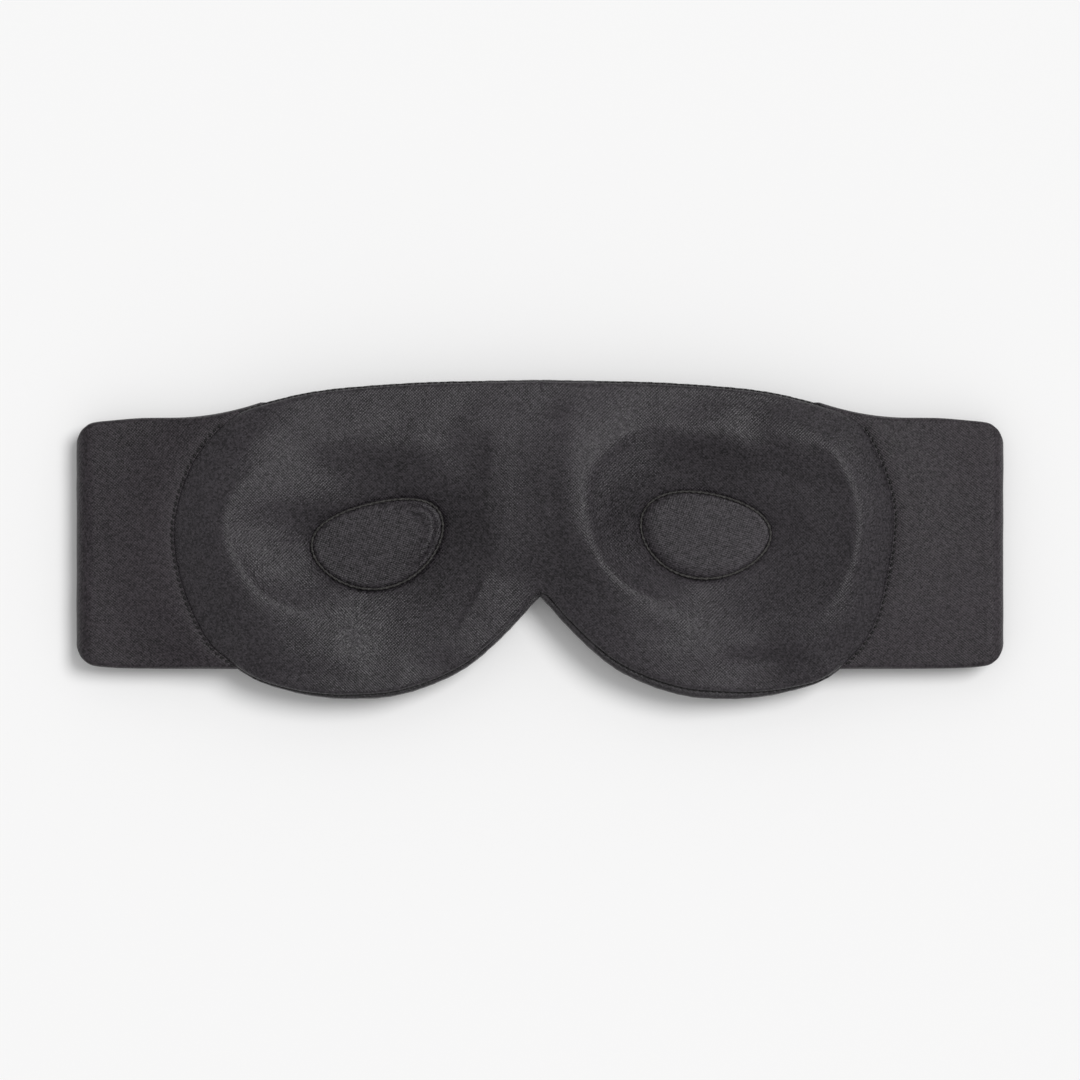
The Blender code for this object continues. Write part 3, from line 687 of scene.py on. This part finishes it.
# ---------------------------------------------------------------- windows and their cords
def build_window(side):
    name = "right" if side > 0 else "left"
    shape = WINDOW[side]
    centre = np.array(shape[:2])
    count = 160
    polar = np.linspace(0, 2 * math.pi, count, endpoint=False)
    unit = np.stack([np.cos(polar), np.sin(polar)], 1)
    oval = egg(shape, polar)
    edge = oval - 0.25
    rings = []
    for t in (1.0, 0.985, 0.965, 0.94, 0.91, 0.87, 0.82, 0.74, 0.64, 0.52, 0.38, 0.22, 0.08):
        flat = centre + unit * (edge * t)[:, None]
        x, y = flat[:, 0], flat[:, 1]
        inward = edge * (1 - t)
        z = 10.85 - 0.95 * np.exp(-inward / 0.75) + 0.30 * (1 - t) + 0.05 * drift(x, y, 9, 2.0 + side)
        z = z + 0.05 * ripple(polar * 16, 3.0 + side) * np.exp(-inward / 1.6)
        # neither panel lies quite level
        z = z - side * 0.035 * ((x - centre[0]) * 0.85 + (y - centre[1]) * 0.53) * smooth(inward / 3.5)
        if side < 0:
            # a second fold of cloth inside the end of this window nearest the nose
            facing = smooth((np.cos(polar - 0.15) - 0.55) / 0.35)
            z = z + facing * (0.80 * np.exp(-((inward - 3.0) / 1.15) ** 2) - 0.40 * np.exp(-((inward - 1.4) / 0.5) ** 2))
        rings.append(np.column_stack([flat, z]))
    under = np.column_stack([centre + unit * (edge - 0.1)[:, None], np.full(count, 9.6)])
    panel = loops_body(name + "_window_panel", [under] + rings)
    dress(panel, WINDOW_CLOTH)
    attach(panel, "mask_" + name)
    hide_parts(name + "_eye_window")

    count = 900
    polar = np.linspace(0, 2 * math.pi, count, endpoint=False)
    unit = np.stack([np.cos(polar), np.sin(polar)], 1)
    flat = centre + unit * (egg(shape, polar) - 0.1)[:, None]
    path = np.column_stack([flat, 10.36 + 0.06 * ripple(polar * 9, side)])
    cord = twisted(name + "_seam_cord", path, 0.38, 1.7, sides=10)
    dress(cord, CORD)
    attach(cord, "mask_" + name)
    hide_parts(name + "_window_cord")


for side in (1, -1):
    build_window(side)


# ---------------------------------------------------------------- outer shell, both halves as one piece
def build_shell():
    """The backing and the side band that rises to the seam with the padding."""
    points, faces = [], []
    ne, ni = 300, 30
    for side in (1, -1):
        loop, centre, way, far, _ = half_layout(side, shell_line(side), ne, ni)
        pad_edge = resample(pad_line(side), 900)
        # the padding's seam beside each point of the shell's line
        gap, beside = edge_near(loop[:ne], pad_edge)
        n = len(loop)
        out = outward(loop[:ne], side)
        out[0], out[-1] = (0, 1), (0, -1)
        along = run_of(loop[:ne])
        seam = np.interp(beside, run_of(pad_edge), pad_top(pad_edge, side))
        shares = [0.0, 0.2, 0.4, 0.6, 0.75, 0.87, 0.95, 1.0]
        ends = []
        for z in (8.9, 7.36):
            rings = []
            for k in shares:
                inside = 3.2 if z > 8 else 1.4
                flat = centre + way * ((far - inside) * max(k, 0.06))[:, None]
                flat[ne:] = centre + way[ne:] * (far[ne:] * max(k, 0.06))[:, None]
                if k == 1.0:
                    flat[:ne] = loop[:ne] - out * inside
                    flat[0, 0] = flat[ne - 1, 0] = 0.0
                    flat[ne:] = loop[ne:]
                rings.append(np.column_stack([flat, np.full(n, z)]))
            base = len(points)
            points += [p for ring in rings for p in ring]
            for k in range(len(rings) - 1):
                for i in range(n):
                    j = (i + 1) % n
                    a, b = base + k * n, base + (k + 1) * n
                    faces.append((a + i, a + j, b + j, b + i))
            faces.append(tuple(base + i for i in range(n)))
            ends.append(base + (len(rings) - 1) * n)
        previous = list(range(ends[0], ends[0] + ne))
        wave = ripple(along, 5.0)
        # from inside the seam, out over the band's roll, down the side and under
        profile = [(gap + 1.6, 0.9), (gap + 0.15, 0.62), (gap * 0.72, 0.42), (gap * 0.40, 0.46), (gap * 0.16, 0.75), (0 * gap + 0.0, 1.25)]
        for back, drop in profile:
            ring = loop[:ne] - out * np.asarray(back)[:, None]
            ring[0, 0] = ring[-1, 0] = 0.0
            here = len(points)
            points += [(p[0], p[1], h - drop) for p, h in zip(ring, seam)]
            for i in range(ne - 1):
                faces.append((previous[i], previous[i + 1], here + i + 1, here + i))
            previous = list(range(here, here + ne))
        for push, share in ((0.10, 0.86), (0.16, 0.66), (0.14, 0.46), (0.05, 0.28), (-0.12, 0.14), (-0.45, 0.05), (-0.9, 0.01)):
            low = 7.36
            ring = loop[:ne] + out * (push + 0.07 * wave * (0.1 < share))[:, None]
            ring[0, 0] = ring[-1, 0] = 0.0
            here = len(points)
            points += [(p[0], p[1], low + (h - 1.25 - low) * share) for p, h in zip(ring, seam)]
            for i in range(ne - 1):
                faces.append((previous[i], previous[i + 1], here + i + 1, here + i))
            previous = list(range(here, here + ne))
        for i in range(ne - 1):
            faces.append((previous[i], previous[i + 1], ends[1] + i + 1, ends[1] + i))
    shell = add("outer_shell", points, faces)
    dress(shell, SHELL)
    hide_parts("right_outer_shell", "left_outer_shell")
    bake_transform(shell)


build_shell()


# ---------------------------------------------------------------- stitches round the padding
def panel_top(out):
    """Height of a side panel's face at a distance outside the padding's seam."""
    out = np.asarray(out, float)
    return SHELL_Z + STRAP_THICK + (SEAM_Z - 0.5 - SHELL_Z - STRAP_THICK) * np.exp(-((np.maximum(out, 0) / 13.0) ** 2)) - 0.15 * np.exp(-((out / 1.2) ** 2))


def build_stitches(side):
    name = "right" if side > 0 else "left"
    line = pad_line(side)
    line = resample(line, 1200)
    out = outward(line, side)
    run = run_of(line)
    seam = pad_top(line, side)
    places = []
    at, pitch, length = 0.0, 1.78, 1.18
    while at + length < run[-1]:
        mid = at + length / 2
        x = np.interp(mid, run, line[:, 0])
        if abs(x) > 15:
            ends = []
            for s in (at, at + length):
                p = np.array([np.interp(s, run, line[:, 0]), np.interp(s, run, line[:, 1])])
                o = np.array([np.interp(s, run, out[:, 0]), np.interp(s, run, out[:, 1])])
                ends.append((p, o))
            y = ends[0][0][1]
            on_strap = STRAP_BOTTOM < y < STRAP_TOP and abs(x) > 80
            jog = 0.06 * math.sin(at * 5.1)
            if abs(x) > 80 and min(abs(y - STRAP_BOTTOM), abs(y - STRAP_TOP)) < 1.4:
                at += pitch
                continue
            push = 0.70 + jog if on_strap else 0.16
            za, zb = [float(panel_top(0.7)) + 0.02 if on_strap else np.interp(s, run, seam) - 0.45 for s in (at, at + length)]
            a = (*(ends[0][0] + ends[0][1] * push), za)
            b = (*(ends[1][0] + ends[1][1] * (push - (0.40 if on_strap else 0.0))), zb)
            places.append((a, b, 0.10))
        at += pitch
    stitches = capsules(name + "_edge_stitches", places, 0.29)
    dress(stitches, THREAD)
    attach(stitches, "mask_" + name)
    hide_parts(name + "_edge_stitch")


for side in (1, -1):
    build_stitches(side)


# ---------------------------------------------------------------- straps
def across_rows(count=56):
    """Stations across a strap from 0 to 1, crowded at both edges."""
    t = np.linspace(0, 1, count)
    return 0.5 - 0.5 * np.cos(math.pi * (0.06 + 0.88 * t)) if False else (t + 0.10 * np.sin(2 * math.pi * t) * -1)


def edge_ease(near):
    """Half thickness share at a distance from a strap's turned edge."""
    t = np.clip(near / 1.15, 0, 1)
    return 0.10 + 0.90 * np.sqrt(np.maximum(1 - (1 - t) ** 2, 0))


def narrowing(s):
    """How far the strap's edges draw in near a fold; s is the distance along the strap from the outermost line."""
    far = FOLD_R + STRAP_THICK / 2
    s = np.abs(s)
    arc = FOLD_R * math.pi / 2
    plan = far * (1 - np.cos(np.minimum(s, arc) / FOLD_R)) + np.maximum(s - arc, 0)
    return 3.6 * np.exp(-plan / 1.3) + 1.9 * np.exp(-plan / 6.0)


def bow(s):
    """How far the long edges stand out between the fold and the pad."""
    return 0.45 * smooth((np.abs(s) - 9) / 12)


def strap_sheet(name, stations, width_of, extra=None):
    """A strap as a closed solid. Each station is (x, z, nx, nz, s): a point on its middle line, the way its upper face looks,
    and the distance from the fold's outermost line."""
    v = across_rows()
    top, bottom = [], []
    middle = (STRAP_TOP + STRAP_BOTTOM) / 2
    full = STRAP_TOP - STRAP_BOTTOM
    for x, z, nx, nz, s in stations:
        low, high = STRAP_BOTTOM, STRAP_TOP
        share = width_of(x)
        low, high = middle + (low - middle) * share, middle + (high - middle) * share
        pull = narrowing(s)
        y0, y1 = low + pull, high - pull
        y = y0 + (y1 - y0) * v
        near = np.minimum(y - y0, y1 - y)
        half = STRAP_THICK / 2 * edge_ease(near)
        xs = np.full(len(y), float(x))
        mids = np.full(len(y), float(z))
        if extra:
            xs, y, mids, half = extra(xs, y, mids, half, s)
        soft = 0.05 * drift(xs, y, 21, 4.0)
        up = half + soft * (half > 0.8)
        top.append(np.column_stack([xs + nx * up, y, mids + nz * up]))
        bottom.append(np.column_stack([xs - nx * half, y, mids - nz * half]))
    top, bottom = np.array(top), np.array(bottom)
    return plate(name, top, bottom)


def seam_x(side, y):
    line = shell_line(side)
    line = line[np.abs(line[:, 0]) > 76]
    order = np.argsort(line[:, 1])
    return np.interp(y, line[order, 1], np.abs(line[order, 0]))


def taper(x, wide_at, narrow_at):
    share = NARROW / (STRAP_TOP - STRAP_BOTTOM)
    return 1 + (share - 1) * float(smooth((x - wide_at) / (narrow_at - wide_at)))


def one(x):
    return 1.0


def build_front(side):
    """From under the padding's seam out to the outermost line of the fold."""
    name = "right" if side > 0 else "left"
    v = across_rows()
    middle = (STRAP_TOP + STRAP_BOTTOM) / 2
    rows = []
    flat_n, arc_n = 54, 14
    y_line = STRAP_BOTTOM + (STRAP_TOP - STRAP_BOTTOM) * v
    start = seam_x(side, y_line + 4.0 * smooth((y_line - 24) / 9.6)) - 1.8
    top, bottom = [], []
    arc = FOLD_R * math.pi / 2
    for k in range(flat_n + arc_n):
        if k < flat_n:
            f = k / (flat_n - 1)
            f = 0.35 * f + 0.65 * f * f
            x = start + (FOLD_X - start) * f
            s = FOLD_X - x + arc
            nx, nz, px, pz = 0.0, 1.0, x, np.full(len(v), STRAP_MID)
        else:
            a = math.pi / 2 * (1 - (k - flat_n + 1) / arc_n)
            nx, nz = math.cos(a), math.sin(a)
            px = np.full(len(v), FOLD_X + FOLD_R * math.cos(a))
            pz = np.full(len(v), FOLD_MID_Z + FOLD_R * math.sin(a))
            x = px
            s = np.full(len(v), FOLD_R * a)
        pull = narrowing(s)
        y0, y1 = STRAP_BOTTOM + pull - 0.2, STRAP_TOP - pull + bow(s)
        flare = 4.2 * (np.clip(103.0 - x, 0, 25.0) / 25.0) ** 2
        y = y0 + (y1 + flare - y0) * v
        near = np.minimum(y - y0, y1 + flare - y)
        half = STRAP_THICK / 2 * edge_ease(near)
        # drawn down into the seam with the padding, and puckered along it
        out = x - seam_x(side, y) if k < flat_n else np.full(len(v), 99.0)
        pucker = 0.12 * ripple(y * 1.0, 2.0 + side) * np.exp(-np.maximum(out, 0) / 3.0) * (out > 0)
        soft = 0.08 * drift(px, y, 23, 4.0 + side) * smooth(out / 6) * (near > 1.2)
        ease = edge_ease(near)
        if k < flat_n:
            high = panel_top(out)
            low = SHELL_Z + 1.5 * (1 - smooth(out / 11))
            mid, half = (high + low) / 2, (high - low) / 2 * ease
        else:
            mid, half = pz, STRAP_THICK / 2 * ease
        up = half + soft + pucker
        top.append(np.column_stack([side * (px + nx * up), y, mid + nz * up]))
        bottom.append(np.column_stack([side * (px - nx * half), y, mid - nz * half]))
    front = plate(name + "_strap_front", np.array(top), np.array(bottom))
    dress(front, STRAP)
    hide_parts(name + "_side_panel", name + "_strap_fold")
    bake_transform(front)


def lower_stations(side, xs, z_of=lambda x: REAR_MID):
    """The lower quarter of the fold, then a flat length through xs."""
    arc_n = 14
    out = []
    for k in range(arc_n + 1):
        a = -math.pi / 2 * k / arc_n
        out.append((side * (FOLD_X + FOLD_R * math.cos(a)), FOLD_MID_Z + FOLD_R * math.sin(a), side * math.cos(a), math.sin(a), FOLD_R * -a))
    arc = FOLD_R * math.pi / 2
    for x in xs:
        out.append((x, z_of(x), 0.0, -1.0, FOLD_X - side * x + arc))
    return out


def build_rear_right():
    xs = list(np.linspace(FOLD_X - 1.0, RIGHT_TAPER[0], 26)) + list(np.linspace(*RIGHT_TAPER, 26))[1:] + list(np.linspace(RIGHT_TAPER[1], RIGHT_STRAP_TIP + TIP_R, 34))[1:]
    xs += [RIGHT_STRAP_TIP + TIP_R * (1 - math.sin(a)) for a in np.linspace(0, math.pi / 2, 12)[1:]]

    def width(x):
        share = taper(x, *RIGHT_TAPER)
        over = (RIGHT_STRAP_TIP + TIP_R - x) / TIP_R
        if over > 0:
            cut = TIP_R * (1 - math.sqrt(max(0.0, 1 - min(over, 0.995) ** 2)))
            share -= 2 * cut / (STRAP_TOP - STRAP_BOTTOM)
        return share

    strap = strap_sheet("right_strap_back", lower_stations(1, xs), width)
    dress(strap, STRAP)
    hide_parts("right_strap_rear")
    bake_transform(strap)


def build_rear_left():
    strap = strap_sheet("left_strap_back", lower_stations(-1, [-x for x in np.linspace(FOLD_X - 0.8, -LEFT_REAR_END, 8)]), one)
    dress(strap, STRAP)
    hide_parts("left_strap_rear")
    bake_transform(strap)

    # elastic, climbing from the surface to the level of the tab
    a, b = LEFT_REAR_END, LEFT_TAB_START
    stations = []
    for x in np.linspace(a, b, 30):
        t = (x - a) / (b - a)
        z = REAR_MID + TAB_Z * float(smooth(t))
        slope = TAB_Z * 6 * t * (1 - t) / (b - a)
        size = math.hypot(1, slope)
        stations.append((x, z, slope / size, -1 / size, 99.0))
    elastic = strap_sheet("elastic_web", stations, one)
    dress(elastic, ELASTIC)
    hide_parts("left_elastic_section")
    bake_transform(elastic)

    xs = list(np.linspace(LEFT_TAB_START, LEFT_TAPER[0], 4)) + list(np.linspace(*LEFT_TAPER, 18))[1:] + list(np.linspace(LEFT_TAPER[1], LEFT_TAB_TIP - TIP_R, 14))[1:]
    xs += [LEFT_TAB_TIP - TIP_R * (1 - math.sin(a)) for a in np.linspace(0, math.pi / 2, 12)[1:]]

    def width(x):
        share = taper(x, *LEFT_TAPER)
        over = (x - LEFT_TAB_TIP + TIP_R) / TIP_R
        if over > 0:
            cut = TIP_R * (1 - math.sqrt(max(0.0, 1 - min(over, 0.995) ** 2)))
            share -= 2 * cut / (STRAP_TOP - STRAP_BOTTOM)
        return share

    tab = strap_sheet("left_tab_web", [(x, TAB_Z + STRAP_THICK / 2, 0.0, -1.0, 99.0) for x in xs], width)
    dress(tab, STRAP)
    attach(tab, "left_tab")
    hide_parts("left_strap_tab")


for side in (1, -1):
    build_front(side)
build_rear_right()
build_rear_left()

# hook and loop patches keep their solids and get their own cloth
for name, material in (("hook_patch", HOOK), ("loop_patch", LOOP)):
    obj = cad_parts[name]
    obj.data.materials.clear()
    obj.data.materials.append(material)


def patch_stitches(name, node_name, body):
    """A line of thread round a patch, just inside its edge."""
    lo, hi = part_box(node_name)
    lo, hi = np.array(lo) / MM, np.array(hi) / MM
    up = node_name == "loop_patch"
    z = hi[2] + 0.03 if up else lo[2] - 0.03
    r, gap = 3.0, 1.2
    corner = [(hi[0] - gap - r, lo[1] + gap + r, -90), (hi[0] - gap - r, hi[1] - gap - r, 0), (lo[0] + gap + r, hi[1] - gap - r, 90), (lo[0] + gap + r, lo[1] + gap + r, 180)]
    loop = []
    for cx, cy, a0 in corner:
        for k in range(9):
            a = math.radians(a0 + 90 * k / 8)
            loop.append((cx + r * math.cos(a), cy + r * math.sin(a)))
    loop.append(loop[0])
    loop = np.array(loop)
    run = run_of(loop)
    places, at = [], 0.0
    while at + 1.5 < run[-1]:
        a = (np.interp(at, run, loop[:, 0]), np.interp(at, run, loop[:, 1]), z)
        b = (np.interp(at + 1.5, run, loop[:, 0]), np.interp(at + 1.5, run, loop[:, 1]), z)
        places.append((a, b, 0.05))
        at += 2.3
    stitches = capsules(name, places, 0.16)
    dress(stitches, THREAD)
    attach(stitches, body)


patch_stitches("loop_patch_stitches", "loop_patch", "right_strap")
patch_stitches("hook_patch_stitches", "hook_patch", "left_tab")


# ---------------------------------------------------------------- stage, camera and light
def build_stage():
    floor = add("stage_floor", [(-4000, -4000, -0.2), (4000, -4000, -0.2), (4000, 4000, -0.2), (-4000, 4000, -0.2)], [(0, 1, 2, 3)], False)
    m = bpy.data.materials.new("stage_paper")
    m.use_nodes = True
    shader = m.node_tree.nodes["Principled BSDF"]
    shader.inputs["Base Color"].default_value = (0.912, 0.911, 0.911, 1)
    shader.inputs["Roughness"].default_value = 0.95
    shader.inputs["Specular IOR Level"].default_value = 0.0
    floor.data.materials.append(m)

    scene = bpy.context.scene
    scene.view_settings.view_transform = "Standard"
    world = bpy.data.worlds.new("studio")
    world.use_nodes = True
    back = world.node_tree.nodes["Background"]
    back.inputs["Color"].default_value = (1.0, 1.0, 1.0, 1)
    back.inputs["Strength"].default_value = 0.46
    scene.world = world

    def sun(name, strength, angle, azimuth, elevation):
        """azimuth is measured from +X towards +Y, and is where the light comes from."""
        data = bpy.data.lights.new(name, "SUN")
        data.energy = strength
        data.angle = math.radians(angle)
        light = bpy.data.objects.new(name, data)
        a, e = math.radians(azimuth), math.radians(elevation)
        towards = -Vector((math.cos(a) * math.cos(e), math.sin(a) * math.cos(e), math.sin(e)))
        light.rotation_euler = towards.to_track_quat("-Z", "Y").to_euler()
        scene.collection.objects.link(light)

    sun("key", 1.75, 26, 32, 58)

    data = bpy.data.lights.new("overhead", "AREA")
    data.shape = "SQUARE"
    data.size = 1.2
    data.energy = 5.0
    light = bpy.data.objects.new("overhead", data)
    light.location = (0.12, 0.08, 2.2)
    light.rotation_euler = (-(light.location - Vector((0, 0, 0)))).to_track_quat("-Z", "Y").to_euler()
    scene.collection.objects.link(light)

    data = bpy.data.cameras.new("camera")
    camera = bpy.data.objects.new("camera", data)
    distance = 1.6
    data.sensor_width = 36.0
    data.lens = 36.0 * (distance - 0.009) / 0.3018
    camera.location = (0.0, -0.00016, distance)
    camera.rotation_euler = (0.0, 0.0, 0.0)
    scene.collection.objects.link(camera)
    scene.camera = camera


build_stage()
